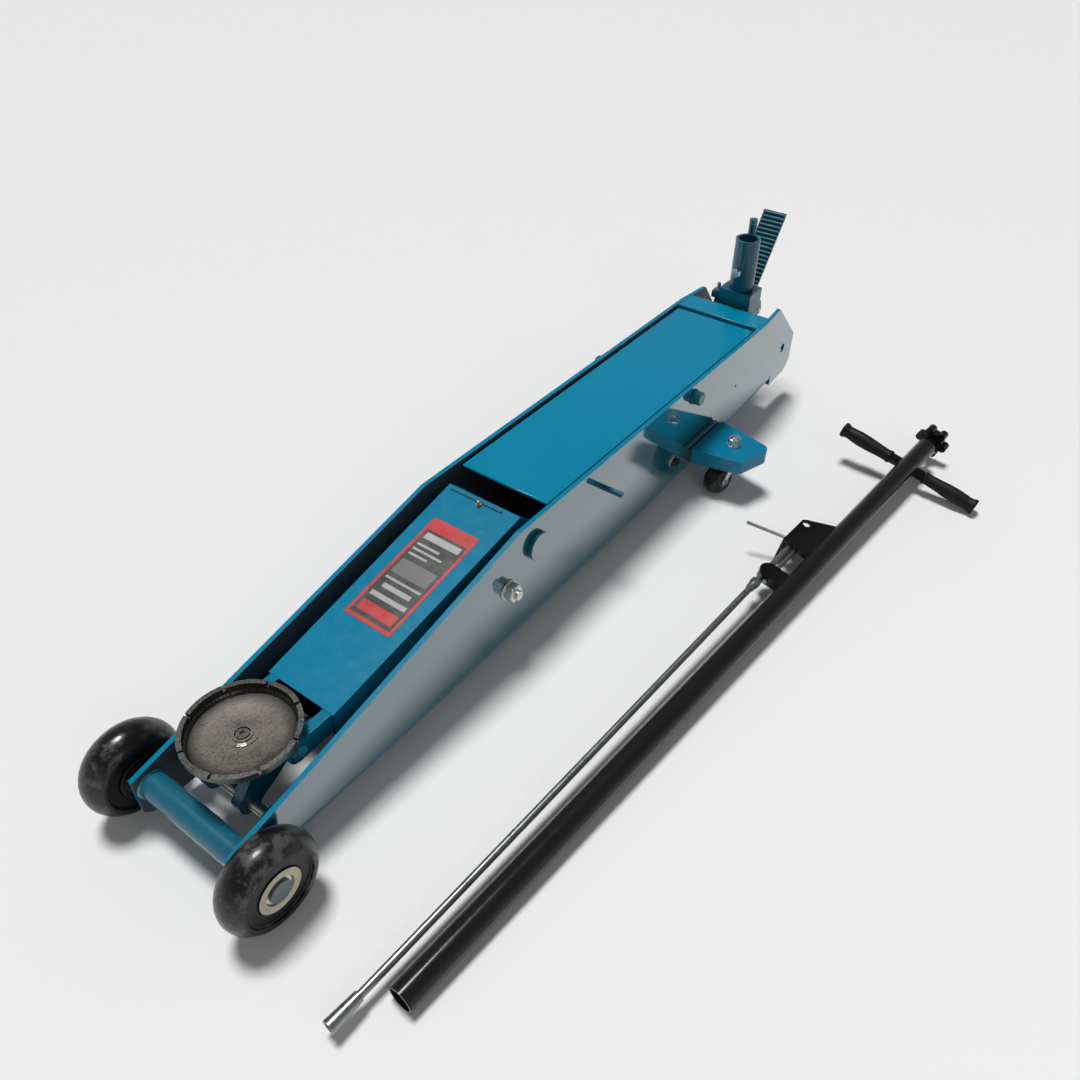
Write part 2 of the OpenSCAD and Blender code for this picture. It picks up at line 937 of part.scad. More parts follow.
module ram() {
    half = 17;
    fork_half = 26;
    slot_half = lever_pin_r + 1.2;
    pin_high = L[1];
    pin_low = pivot_z - lever_l;
    front = L[0] + 22;
    color(steel) difference() {
        union() {
            rod_x(ram_rear, ram_front, ram_z, ram_r);
            block([ram_front - eps, -half, ram_z - fork_half], [front, half, ram_z + fork_half]);
        }
        block([L[0] - slot_half, -half - 1, pin_low - lever_pin_r - 1],
              [L[0] + slot_half, half + 1, pin_high + lever_pin_r + 1]);
    }
}

// ---------- pump yoke ----------

module handle_yoke() {
    front = -1405;
    rear = -1457;
    slot_top = 220;
    guide_low = 222;
    guide_high = 236;
    guide_half = 10;
    boss_r = 9;
    bolt_r = 5;
    roller_lug_r = 11;
    color(navy) difference() {
        union() {
            block([rear, -yoke_half, slot_top], [front, yoke_half, yoke_top]);
            both_sides() across(yoke_slot, yoke_half) {
                translate(yoke_at) circle(r = 20);
                translate(roller_at) circle(r = roller_lug_r);
                polygon([
                    [front, slot_top + 1], [rear - 6, slot_top + 1], roller_at + [-roller_lug_r, 0],
                    roller_at + [0, -roller_lug_r], yoke_at + [-14, -14], yoke_at + [20, 0]
                ]);
            }
            translate([socket_x, 0, yoke_top - eps]) cylinder(r = socket_r, h = socket_top - yoke_top);
            rod_x(socket_x, socket_x + socket_r + 6, socket_bolt_z, boss_r);
            block([yoke_at[0] - guide_half, valve_y - guide_half, guide_low],
                  [yoke_at[0] + guide_half, -yoke_half + eps, guide_high]);
        }
        translate([socket_x, 0, yoke_top + 8]) cylinder(r = socket_bore_r, h = big);
        rod_y(yoke_at, yoke_pin_r + tight, -100, 100);
        rod_y(roller_at, roller_pin_r + tight, -100, 100);
        rod_x(socket_x, socket_x + 2 * socket_r, socket_bolt_z, bolt_r + tight);
        translate([yoke_at[0], valve_y, guide_low - 1]) cylinder(r = valve_r + run, h = 20);
    }
}

module yoke_pin() {
    color(steel) {
        rod_y(yoke_at, yoke_pin_r, -yoke_half - 1.5, yoke_half + 5);
        rod_y(yoke_at, yoke_pin_r + 3, yoke_half + 0.1, yoke_half + 4);
    }
}

module yoke_roller() {
    color(steel) {
        rod_y(roller_at, roller_pin_r, -yoke_half - 1, yoke_half + 1);
        ring_y(roller_at, roller_r, roller_pin_r + tight, -yoke_slot + 1, yoke_slot - 1);
    }
}

module socket_bolt() {
    head_af = 17;
    head_h = 8;
    shank_r = 5;
    inner = socket_x + socket_bore_r + 0.5;
    outer = socket_x + socket_r + 7;
    color(steel) {
        rod_x(inner, outer + eps, socket_bolt_z, shank_r);
        translate([outer, 0, socket_bolt_z]) rotate([0, 90, 0])
            cylinder(r = head_af / sqrt(3), h = head_h, $fn = 6);
    }
}

// Tread plate with its ribs, leaning back behind the socket, and the foot that bolts to the yoke
module foot_pedal() {
    lean = atan2(tread_high[1] - tread_low[1], tread_low[0] - tread_high[0]);
    tread_l = norm(tread_high - tread_low);
    rib_pitch = tread_l / tread_ribs;
    rib_h = 4;
    rib_t = 3;
    foot_half = 16;
    color(navy) {
        translate([tread_low[0], 0, tread_low[1]]) rotate([0, lean, 0]) mirror([1, 0, 0]) {
            block([0, tread_right, -tread_t], [tread_l, tread_left, 0]);
            for (i = [0 : tread_ribs - 1]) translate([(i + 0.5) * rib_pitch, 0, 0])
                block([-rib_t / 2, tread_right, -eps], [rib_t / 2, tread_left, rib_h]);
        }
        block([-1484, -foot_half, 226], [-1457 - eps, foot_half, 250]);
    }
}

// Upright stay welded behind the socket, with the pin that steadies the pedal
module pedal_stay() {
    post_x = -1466;
    post_y = -9;
    post_r = 8;
    foot = 318;
    top = 384;
    pin_r = 3;
    tab = [9.5, 6, 28];
    color(navy) {
        translate([post_x, post_y, foot]) cylinder(r = post_r, h = top - foot);
        translate([post_x - 1, post_y - tab[1] / 2, foot + 4]) cube(tab);
    }
    color(steel) rod_x(post_x - 14, post_x + 9, top - 8, pin_r, post_y);
}

module pump_plunger() {
    low = 106;
    color(steel) translate([plunger_x, 0, low]) cylinder(r = plunger_r, h = plunger_top - low);
}

module release_stem() {
    low = yoke_at[1] + joint_gap;
    square_h = 11;
    collar_z = 237;
    color(steel) translate([yoke_at[0], valve_y, 0]) {
        translate([0, 0, low]) cylinder(r = knuckle_r, h = knuckle_h);
        translate([0, 0, low + knuckle_h - eps]) cylinder(r = valve_r, h = stem_top - low - knuckle_h);
        translate([0, 0, collar_z]) cylinder(r = valve_r + 2, h = 3);
        translate([0, 0, stem_top - eps]) cylinder(r = valve_r - 1.2, h = square_h, $fn = 4);
    }
}

module release_spindle() {
    high = yoke_at[1] - joint_gap;
    low = 142;
    color(steel) translate([yoke_at[0], valve_y, 0]) {
        translate([0, 0, low]) cylinder(r = valve_r, h = high - knuckle_h - low + eps);
        translate([0, 0, high - knuckle_h]) cylinder(r = knuckle_r, h = knuckle_h);
    }
}

// ---------- handle ----------

// Frame of the handle: +X from its lower end to its grips, +Y towards the jack
module on_handle() {
    translate(handle_at) rotate([0, 0, handle_heading]) rotate([0, -handle_rise, 0])
        rotate([handle_roll, 0, 0]) children();
}

module handle_tube() {
    latch_x = 28;
    latch_r = 5.2;
    color(black) on_handle() difference() {
        rod_x(0, tube_l, 0, tube_r);
        rod_x(-1, tube_l + 1, 0, tube_bore_r);
        translate([latch_x, 0, -2 * tube_r]) cylinder(r = latch_r, h = 2 * tube_r);
    }
}

module cross_bar() {
    collar_r = 10.5;
    collar_half = 35.5;
    short = 4.2;
    color(black) on_handle() difference() {
        union() {
            rod_y([tee_x, 0], cross_bar_r, -tee_l / 2 + short, tee_l / 2 - short);
            rod_y([tee_x, 0], collar_r, -collar_half, collar_half);
        }
        rod_x(tee_x - 60, tee_x + 60, 0, tube_r + tight);
    }
}

module hand_grips() {
    grip_l = 108;
    waist_r = 12.5;
    color(black) on_handle() for (s = [-1, 1]) translate([tee_x, 0, 0]) rotate([-90 * s, 0, 0])
        translate([0, 0, tee_l / 2 - grip_l]) rotate_extrude() difference() {
            union() {
                square([waist_r, grip_l]);
                square([grip_r - 1, 6]);
                translate([0, 40]) square([grip_r - 0.8, grip_l - 52]);
                translate([0, grip_l - 14]) square([grip_r, 14]);
            }
            translate([-1, -1]) square([cross_bar_r + 1 + tight, grip_l - 3]);
        }
}

// Lower plate and upper housing that hold the two side rods beside the tube
module rod_bracket() {
    plate_y = 46;
    plate_half = 9;
    box_y = 68;
    top_z = 10;
    foot_z = -46;
    wall = 4;
    weld = 5;
    hole_at = [bracket_box[1] - 17, 57];
    hole_r = 6.5;
    slot = [972, 988];
    color(black) on_handle() difference() {
        union() {
            block([bracket_low[0], tube_r - weld, -plate_half], [bracket_low[1], plate_y, plate_half]);
            translate([(bracket_low[0] + bracket_low[1]) / 2, plate_y, -plate_half])
                cylinder(r = (bracket_low[1] - bracket_low[0]) / 2, h = 2 * plate_half);
            translate([0, 0, top_z - wall]) linear_extrude(wall) polygon([
                [bracket_box[0], tube_r - weld], [bracket_box[0], box_y], [bracket_box[1] - 12, box_y],
                [bracket_box[1] - 6, box_y - 7], [bracket_box[1] + 22, tube_r - weld]
            ]);
            block([bracket_box[0] + 8, tube_r - weld, -plate_half], [bracket_box[0] + 14, box_y, top_z]);
            block([bracket_box[0], box_y - wall, foot_z], [bracket_box[1] - 26, box_y, top_z]);
        }
        rod_x(-10, tube_l, 0, tube_r - eps);
        translate(hole_at) cylinder(r = hole_r, h = 40);
        on_key() rod_x(500, 1200, 0, key_r + run);
        rod_x(500, 1200, 0, guide_r + tight, guide_y);
        // slot for the turning bar
        block([slot[0], box_y - wall - 1, -19], [slot[1], box_y + 1, 5]);
    }
}

module guide_rod() {
    color(steel) on_handle() rod_x(bracket_low[0] - 3, bracket_box[0] + 16, 0, guide_r, guide_y);
}

module knob_rod() {
    coupler_l = 46;
    coupler_r = 13;
    coupler_bore_r = 9.5;
    disc_t = 12;
    color(steel) on_handle() difference() {
        union() {
            rod_x(20, knob_x - 10, 0, knob_rod_r);
            rod_x(8, 8 + coupler_l, 0, coupler_r);
        }
        rod_x(0, 34, 0, coupler_bore_r);
    }
    // discs that carry the rod in the tube
    color(steel) on_handle() for (at = [300, 900, tube_l - disc_t]) difference() {
        rod_x(at, at + disc_t, 0, tube_bore_r - 0.06);
        rod_x(at - 1, at + disc_t + 1, 0, knob_rod_r - eps);
    }
}

module star_knob() {
    hub_r = 22;
    lobe_r = 8;
    lobe_at = 24.5;
    knob_t = 18;
    neck_r = 11;
    color(black) on_handle() translate([knob_x - knob_t / 2, 0, 0]) rotate([0, 90, 0]) difference() {
        union() {
            cylinder(r = hub_r, h = knob_t);
            for (i = [0 : knob_lobes - 1]) rotate([0, 0, (i + 0.5) * 360 / knob_lobes])
                translate([lobe_at, 0, 0]) cylinder(r = lobe_r, h = knob_t);
            translate([0, 0, -8]) cylinder(r = neck_r, h = 10);
        }
        translate([0, 0, -20]) cylinder(r = knob_rod_r + eps, h = 24);
    }
}

// Frame of the side rod, which lies at a small angle to the tube
module on_key() {
    translate([key_front, key_y_front, 0]) rotate([0, 0, key_turn])
        translate([-key_front, 0, 0]) children();
}

module release_key() {
    socket_l = 46;
    socket_out = 10;
    socket_neck = 7.5;
    socket_bore_r = 6.2;
    collar_r = 7.5;
    nut_r = 9.5;
    bar_x = 984.8;
    bar_l = 89;
    bar_r = 3;
    bar_tilt = 16.9;
    color(steel) on_handle() on_key() difference() {
        union() {
            rod_x(key_front + socket_l - 4, key_rear, 0, key_r);
            translate([key_front, 0, 0]) rotate([0, 90, 0])
                cylinder(r1 = socket_out, r2 = socket_neck, h = socket_l);
            rod_x(key_nut - 8, key_nut + 2, 0, collar_r);
            translate([key_nut + 2, 0, 0]) rotate([0, 90, 0]) cylinder(r = nut_r, h = 12, $fn = 6);
            translate([bar_x, 0, 0]) rotate([0, 0, bar_tilt]) rotate([-90, 0, 0])
                cylinder(r = bar_r, h = bar_l);
        }
        rod_x(key_front - 1, key_front + 30, 0, socket_bore_r);
    }
}

in_place() left_side_plate();
in_place() right_side_plate();
in_place() left_lower_rail();
in_place() right_lower_rail();
in_place() front_crossbar();
in_place() front_axle();
in_place() axle_clips();
in_place() top_cover();
in_place() rear_cross_plate();
in_place() cover_support_bar();
in_place() trunnion_bolts();
in_place() arm_pivot_shaft();
in_place() spring_anchor_rod();
in_place() return_springs();
in_place() cylinder_end_plate();
in_place() end_plate_bolts();
in_place() pressure_cylinder();
in_place() oil_reservoir();
in_place() pump_block();
in_place() left_caster_bracket();
in_place() right_caster_bracket();
in_place() left_caster_stud();
in_place() right_caster_stud();
in_place() lift_arm();
in_place() lever_pin();
in_place() head_pin();
in_place() grease_nipple();
in_place() label_plate();
in_place() link_rods();
in_place() link_bolts();
in_place() link_cross_pin();
in_place() saddle_head();
in_place() saddle();
in_place() saddle_screw();
in_place() ram();
in_place() left_front_wheel();
in_place() right_front_wheel();
in_place() left_wheel_bush();
in_place() right_wheel_bush();
in_place() left_caster_fork();
in_place() right_caster_fork();
in_place() left_caster_wheel();
in_place() right_caster_wheel();
in_place() handle_yoke();
in_place() yoke_pin();
in_place() yoke_roller();
in_place() socket_bolt();
in_place() foot_pedal();
in_place() pedal_stay();
in_place() pump_plunger();
in_place() release_stem();
in_place() release_spindle();
in_place() handle_tube();
in_place() cross_bar();
in_place() hand_grips();
in_place() rod_bracket();
in_place() guide_rod();
in_place() knob_rod();
in_place() star_knob();
in_place() release_key();
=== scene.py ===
"""A long hydraulic trolley jack with its pump handle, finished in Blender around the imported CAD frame."""
import json
import math

import bmesh
import bpy
from mathutils import Matrix, Vector

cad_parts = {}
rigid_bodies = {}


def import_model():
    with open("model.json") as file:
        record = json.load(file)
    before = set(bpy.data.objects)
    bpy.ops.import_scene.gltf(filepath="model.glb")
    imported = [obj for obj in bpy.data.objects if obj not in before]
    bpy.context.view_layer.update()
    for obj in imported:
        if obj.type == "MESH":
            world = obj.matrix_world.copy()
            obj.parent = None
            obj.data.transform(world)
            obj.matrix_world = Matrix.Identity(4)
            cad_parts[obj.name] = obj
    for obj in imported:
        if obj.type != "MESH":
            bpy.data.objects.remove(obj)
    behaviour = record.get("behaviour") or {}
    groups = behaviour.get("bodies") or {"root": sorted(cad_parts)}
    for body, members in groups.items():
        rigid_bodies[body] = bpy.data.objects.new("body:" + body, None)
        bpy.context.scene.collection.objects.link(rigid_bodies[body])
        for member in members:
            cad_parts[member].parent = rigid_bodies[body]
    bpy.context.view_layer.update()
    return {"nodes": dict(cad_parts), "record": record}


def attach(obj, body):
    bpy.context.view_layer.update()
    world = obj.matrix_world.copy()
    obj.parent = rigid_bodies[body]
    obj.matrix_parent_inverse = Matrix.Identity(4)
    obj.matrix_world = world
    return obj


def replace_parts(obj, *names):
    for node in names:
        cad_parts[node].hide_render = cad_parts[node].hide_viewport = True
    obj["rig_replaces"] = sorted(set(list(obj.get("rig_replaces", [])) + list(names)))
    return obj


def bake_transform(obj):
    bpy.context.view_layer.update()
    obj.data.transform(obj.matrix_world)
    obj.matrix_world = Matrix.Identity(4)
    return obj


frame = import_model()
NODES = frame["nodes"]
BODY_OF = {n: b for b, ns in frame["record"]["behaviour"]["bodies"].items() for n in ns}
scene = bpy.context.scene

# The row's origin, seen from the middle of the front axle on the floor, in millimetres
ORIGIN = Vector((-747.0, 181.3, 0.0))
MIDDLE_Y = -ORIGIN.y / 1000


def at(x, y, z):
    """Row point of a place given in millimetres from the front axle."""
    return (Vector((x, y, z)) - ORIGIN) / 1000


def mirrored(place, sign):
    """Row point of a place on the jack's left side, or of its mirror image where sign is -1."""
    x, y, z = place
    return at(x, y * sign, z)


# Places on the jack, in millimetres from the front axle
SADDLE_FLOOR = (-95, 0, 146)
PEDAL_PLATE = (-1470, 0, 250)
END_PLATE_BOLT = (-1015, 0, 89.5)
HANDLE_START = (-5, 343, 19)
FOLD_FRONT = (-1358, 0, 226)
FOLD_REAR = (-1520, 0, 142)
SPRING_REAR = (-780, 46, 170)
SPRING_FRONT = (-622.3, 46, 114.9)

# What tells a piece's faces apart, in metres: a distance from its axis or from the middle plane, or for
# TREAD_HEIGHT from the pedal's plate
WHEEL_R = 0.070
WHEEL_RECESS_R = 0.0502
BUSH_END_Y = 0.150
BRACKET_BAR_Y = 0.1102
ARM_CHEEK_Y = 0.03
BOLT_HEAD_R = 0.0094
SADDLE_WALL_R = 0.0715
SADDLE_BOSS_R = (0.013, 0.0212)
TREAD_HEIGHT = 0.003

# The pedal's plate slopes up to the rear, and a side plate's rear corner is bent inward
PEDAL_TILT = math.radians(53.6)
PEDAL_UP = Vector((math.sin(PEDAL_TILT), 0, math.cos(PEDAL_TILT)))
FOLD_SLOPE = math.tan(math.radians(11))

# Corners sharper than this are rounded over
ROUND_ABOVE = math.radians(28)


# ---------------------------------------------------------------- materials

def new_material(name):
    """A node material with its nodes, links and shader."""
    mat = bpy.data.materials.new(name)
    mat.use_nodes = True
    nodes = mat.node_tree.nodes
    return mat, nodes, mat.node_tree.links, nodes["Principled BSDF"]


def noise(nodes, links, scale, detail=4.0, rough=0.55, stretch=None):
    """Noise in the object's own space, stretched where scales along its axes are given."""
    tex = nodes.new("ShaderNodeTexNoise")
    tex.inputs["Scale"].default_value = scale
    tex.inputs["Detail"].default_value = detail
    tex.inputs["Roughness"].default_value = rough
    coord = nodes.new("ShaderNodeTexCoord")
    source = coord.outputs["Object"]
    if stretch:
        mapping = nodes.new("ShaderNodeMapping")
        mapping.inputs["Scale"].default_value = stretch
        links.new(source, mapping.inputs["Vector"])
        source = mapping.outputs["Vector"]
    links.new(source, tex.inputs["Vector"])
    return tex.outputs["Fac"]


def ramp(nodes, links, source, *stops):
    """A colour ramp through two or more (position, grey or colour) stops."""
    node = nodes.new("ShaderNodeValToRGB")
    links.new(source, node.inputs["Fac"])
    elements = node.color_ramp.elements
    colours = [(p, (c, c, c) if isinstance(c, float) else c) for p, c in stops]
    for element, (position, colour) in ((elements[0], colours[0]), (elements[1], colours[-1])):
        element.position = position
        element.color = (*colour, 1)
    for position, colour in colours[1:-1]:
        elements.new(position).color = (*colour, 1)
    return node.outputs["Color"]


def mix(nodes, links, factor, a, b):
    """A blend from a to b, each a colour or another node's output."""
    node = nodes.new("ShaderNodeMix")
    node.data_type = "RGBA"
    links.new(factor, node.inputs["Factor"])
    for socket, value in (("A", a), ("B", b)):
        if isinstance(value, tuple):
            node.inputs[socket].default_value = (*value, 1)
        else:
            links.new(value, node.inputs[socket])
    return node.outputs["Result"]


def bump(nodes, links, bsdf, height, strength, distance):
    """Fine relief of the given height pattern; distance is in metres."""
    node = nodes.new("ShaderNodeBump")
    node.inputs["Strength"].default_value = strength
    node.inputs["Distance"].default_value = distance
    links.new(height, node.inputs["Height"])
    links.new(node.outputs["Normal"], bsdf.inputs["Normal"])


def times(color, k):
    """A colour made darker or lighter."""
    return tuple(c * k for c in color)


# Where on a convex corner the worn tone begins, and where it is at its most
EDGE_WEAR = ((0.52, 0.0), (0.60, 0.55))

# Where in its noise a patch begins, and where it is at its most: real scuffs and dirt, and on a black wheel's
# tread partly a painted sheen
SCUFF_AND_SHEEN_PATCH = ((0.50, 0.0), (0.60, 0.85))


def paint(name, color, worn, rough=(0.2, 0.32), coat=1.0, coat_ior=1.5, coat_rough=0.05, peel=0.05,
          spec=0.5):
    """Enamel over steel: faintly cloudy, with fine orange peel, and thin paint along the edges."""
    mat, nodes, links, bsdf = new_material(name)
    cloud = noise(nodes, links, 6.0, 5.0)
    dust = noise(nodes, links, 55.0, 6.0, 0.7)
    tone = ramp(nodes, links, cloud, (0.3, times(color, 0.93)), (0.7, times(color, 1.06)))
    geo = nodes.new("ShaderNodeNewGeometry")
    edge = ramp(nodes, links, geo.outputs["Pointiness"], *EDGE_WEAR)
    links.new(mix(nodes, links, edge, tone, worn), bsdf.inputs["Base Color"])
    links.new(ramp(nodes, links, dust, (0.35, rough[0]), (0.75, rough[1])), bsdf.inputs["Roughness"])
    bsdf.inputs["Specular IOR Level"].default_value = spec
    bsdf.inputs["Coat Weight"].default_value = coat
    bsdf.inputs["Coat Roughness"].default_value = coat_rough
    bsdf.inputs["Coat IOR"].default_value = coat_ior
    bump(nodes, links, bsdf, noise(nodes, links, 380.0, 2.0), peel, 0.0005)
    return mat


def metal(name, color, rough=(0.22, 0.4), stretch=None, dirt=(0.16, 0.15, 0.13), metallic=1.0, pits=0.08):
    """Bare or plated steel with fine lines, cloudy roughness and dirt in patches."""
    mat, nodes, links, bsdf = new_material(name)
    lines = noise(nodes, links, 300.0, 3.0, 0.6, stretch)
    patch = noise(nodes, links, 28.0, 5.0)
    tone = ramp(nodes, links, patch, (0.25, dirt), (0.40, times(color, 0.8)), (0.62, color))
    links.new(tone, bsdf.inputs["Base Color"])
    links.new(ramp(nodes, links, lines, (0.3, rough[0]), (0.7, rough[1])), bsdf.inputs["Roughness"])
    bsdf.inputs["Metallic"].default_value = metallic
    bump(nodes, links, bsdf, lines, pits, 0.0004)
    return mat


def moulded(name, color, rough=(0.35, 0.55), scale=260.0, strength=0.15, scuff_and_sheen=None, coat=0.0, spec=0.5):
    """Rubber, plastic or print with a fine pebbled skin and, where a patch colour is given, patches of it:
    real scuffs and dirt, and on a black wheel's tread partly a painted sheen.
    """
    mat, nodes, links, bsdf = new_material(name)
    cloud = noise(nodes, links, 12.0, 6.0, 0.65)
    patch = noise(nodes, links, 34.0, 7.0, 0.72)
    tone = ramp(nodes, links, cloud, (0.3, times(color, 0.8)), (0.72, times(color, 1.3)))
    if scuff_and_sheen:
        tone = mix(nodes, links, ramp(nodes, links, patch, *SCUFF_AND_SHEEN_PATCH), tone, scuff_and_sheen)
    links.new(tone, bsdf.inputs["Base Color"])
    links.new(ramp(nodes, links, patch, (0.35, rough[0]), (0.65, rough[1])), bsdf.inputs["Roughness"])
    bsdf.inputs["Specular IOR Level"].default_value = spec
    bsdf.inputs["Coat Weight"].default_value = coat
    bsdf.inputs["Coat Roughness"].default_value = 0.12
    bump(nodes, links, bsdf, noise(nodes, links, scale, 3.0), strength, 0.0007)
    return mat


def shaded_dish(cast, name, shade_from_r=0.050, shade_full_r=0.066, shade_tone=(0.03, 0.028, 0.026)):
    """A copy of cast steel whose ring under the saddle's wall is darker than its middle: painted shade at the
    foot of the wall.
    """
    mat = cast.copy()
    mat.name = name
    nodes, links = mat.node_tree.nodes, mat.node_tree.links
    bsdf = nodes["Principled BSDF"]
    source = bsdf.inputs["Base Color"].links[0].from_socket
    coord = nodes.new("ShaderNodeTexCoord")
    offset = nodes.new("ShaderNodeVectorMath")
    offset.operation = "SUBTRACT"
    offset.inputs[1].default_value = at(*SADDLE_FLOOR)
    links.new(coord.outputs["Object"], offset.inputs[0])
    reach = nodes.new("ShaderNodeVectorMath")
    reach.operation = "LENGTH"
    links.new(offset.outputs["Vector"], reach.inputs[0])
    ring = nodes.new("ShaderNodeMapRange")
    ring.inputs["From Min"].default_value = shade_from_r
    ring.inputs["From Max"].default_value = shade_full_r
    links.new(reach.outputs["Value"], ring.inputs["Value"])
    # Painted shade: the floor darkens from the middle's own tone towards the foot of the saddle's wall
    links.new(mix(nodes, links, ring.outputs["Result"], source, shade_tone), bsdf.inputs["Base Color"])
    return mat


MAT = {
    "teal": paint("teal_enamel", (0.0, 0.178, 0.315), (0.0, 0.30, 0.48),
                  coat=0.18, coat_rough=0.08, spec=0.2),
    "mirror": paint("polished_teal_enamel", (0.0, 0.085, 0.120), (0.02, 0.25, 0.36),
                    rough=(0.08, 0.16), coat_ior=2.2, coat_rough=0.05, peel=0.02),
    "rail": paint("shaded_teal_enamel", (0.0, 0.105, 0.165), (0.02, 0.2, 0.3), coat_rough=0.1),
    # Painted shade: a darker copy of the teal enamel for the front crossbar, which sits under the arm between
    # the side plates
    "bar": paint("deep_teal_enamel", (0.0, 0.034, 0.066), (0.02, 0.2, 0.3),
                 coat=0.35, coat_rough=0.06, spec=0.35),
    "navy": paint("dark_teal_enamel", (0.0, 0.070, 0.110), (0.01, 0.2, 0.3),
                  rough=(0.25, 0.4), coat=0.4, spec=0.3),
    # Painted shade: a near-black enamel for the faces that look into the jack or down, under the arm and on
    # the caster brackets' mounting bars, where shade falls
    "inner": paint("unlit_enamel", (0.032, 0.040, 0.050), (0.03, 0.06, 0.08), rough=(0.5, 0.7), coat=0.1),
    "black": paint("black_enamel", (0.0025, 0.0025, 0.003), (0.02, 0.02, 0.02),
                   rough=(0.14, 0.26), coat=0.25, coat_ior=1.3, coat_rough=0.1, spec=0.2),
    "recess": paint("black_wheel_face", (0.004, 0.0045, 0.005), (0.02, 0.02, 0.02),
                    rough=(0.4, 0.55), coat=0.1, spec=0.3),
    "axle": paint("slate_paint", (0.045, 0.075, 0.095), (0.2, 0.24, 0.26), rough=(0.3, 0.45), coat=0.4),
    # Painted highlight: a lighter teal for the tops of the pedal's ribs
    "tread": paint("rubbed_tread", (0.02, 0.17, 0.24), (0.2, 0.35, 0.42), rough=(0.25, 0.4), coat=0.4),
    "bead": paint("painted_weld", (0.0, 0.15, 0.26), (0.03, 0.3, 0.42), coat_rough=0.1),
    "steel": metal("zinc_plate", (0.70, 0.70, 0.68)),
    "rod": metal("bright_rod", (0.33, 0.35, 0.34), (0.26, 0.42), stretch=(1, 0.05, 1)),
    "chrome": metal("ram_chrome", (0.85, 0.85, 0.86), (0.04, 0.1), dirt=(0.6, 0.6, 0.6)),
    "oxide": metal("black_oxide", (0.035, 0.035, 0.04), (0.3, 0.5), dirt=(0.015, 0.015, 0.015), metallic=0.6),
    "cast": metal("cast_saddle", (0.135, 0.122, 0.11), (0.28, 0.48),
                  dirt=(0.055, 0.048, 0.042), metallic=0.8, pits=0.35),
    "rim": metal("worn_saddle_rim", (0.11, 0.11, 0.105), (0.22, 0.42),
                 dirt=(0.03, 0.03, 0.03), metallic=0.8, pits=0.3),
    "brass": metal("brass", (0.75, 0.52, 0.2), (0.2, 0.35), dirt=(0.3, 0.18, 0.06)),
    # A black wheel's paler patches: real scuffs, and on the tread partly a painted sheen
    "wheel": moulded("black_wheel", (0.005, 0.005, 0.005), (0.2, 0.5), 150.0, 0.4,
                     scuff_and_sheen=(0.075, 0.075, 0.07), coat=0.2, spec=0.35),
    "cream": moulded("cream_bush", (0.52, 0.48, 0.36), (0.4, 0.6), 200.0, 0.1, scuff_and_sheen=(0.42, 0.38, 0.27)),
    "rubber": moulded("grip_rubber", (0.006, 0.006, 0.0065), (0.45, 0.65), 320.0, 0.35, spec=0.25),
    "plastic": moulded("black_plastic", (0.005, 0.005, 0.0055), (0.25, 0.4), 260.0, 0.12, spec=0.3),
    "label_red": moulded("label_red", (0.48, 0.02, 0.02), (0.25, 0.35), 90.0, 0.03, coat=0.5),
    "label_dark": moulded("label_dark", (0.025, 0.027, 0.028), (0.25, 0.35), 90.0, 0.03,
                          scuff_and_sheen=(0.05, 0.05, 0.05), coat=0.5),
    "label_pale": moulded("label_pale", (0.36, 0.36, 0.34), (0.3, 0.4), 90.0, 0.03, coat=0.4),
    "label_grey": moulded("label_grey", (0.12, 0.12, 0.12), (0.3, 0.4), 90.0, 0.03, coat=0.4),
}
# The saddle's floor, with painted shade in the ring at the foot of its wall
MAT["dish"] = shaded_dish(MAT["cast"], "worn_saddle_floor")

# Each material's slot in the record, and the nodes that it finishes; a node in no list is bright steel
FINISH = {
    "teal": ("teal_paint", "top_cover rear_cross_plate left_caster_bracket right_caster_bracket "
                           "lift_arm link_rods left_side_plate right_side_plate"),
    "rail": ("teal_paint", "left_lower_rail right_lower_rail"),
    "bar": ("teal_paint", "front_crossbar"),
    "navy": ("dark_teal_paint", "cover_support_bar trunnion_bolts arm_pivot_shaft cylinder_end_plate "
                                "pressure_cylinder oil_reservoir pump_block saddle_head handle_yoke "
                                "foot_pedal spring_anchor_rod pedal_stay"),
    "black": ("black_paint", "handle_tube cross_bar rod_bracket"),
    "plastic": ("black_plastic", "star_knob"),
    "rubber": ("grip_rubber", "hand_grips"),
    "wheel": ("black_wheel", "left_front_wheel right_front_wheel left_caster_wheel right_caster_wheel"),
    "cream": ("cream_bush", "left_wheel_bush right_wheel_bush"),
    "cast": ("cast_saddle", "saddle"),
    "brass": ("brass", "grease_nipple"),
    "label_red": ("label", "label_plate"),
    "oxide": ("dark_steel", "end_plate_bolts"),
    "chrome": ("chromed_steel", "ram"),
    "axle": ("axle_paint", "front_axle"),
    "rod": ("bright_steel", "guide_rod release_key"),
    "rim": ("bright_steel", "saddle_screw knob_rod"),
}
LOOK = {n: key for key, (slot, names) in FINISH.items() for n in names.split()}


def look_of(node):
    """The material of a CAD node."""
    return MAT[LOOK.get(node, "steel")]


def slot_of(node):
    """The record's material slot of a CAD node."""
    key = LOOK.get(node)
    return FINISH[key][0] if key else "bright_steel"


# ---------------------------------------------------------------- making pieces

def link(obj):
    """Puts a new object in the scene."""
    scene.collection.objects.link(obj)
    return obj


def give(obj, body, slot, *mats, smooth_deg=32):
    for mat in mats:
        obj.data.materials.append(mat)
    obj.data.shade_smooth()
    obj.data.set_sharp_from_angle(angle=math.radians(smooth_deg))
    if body:
        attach(obj, body)
    return obj


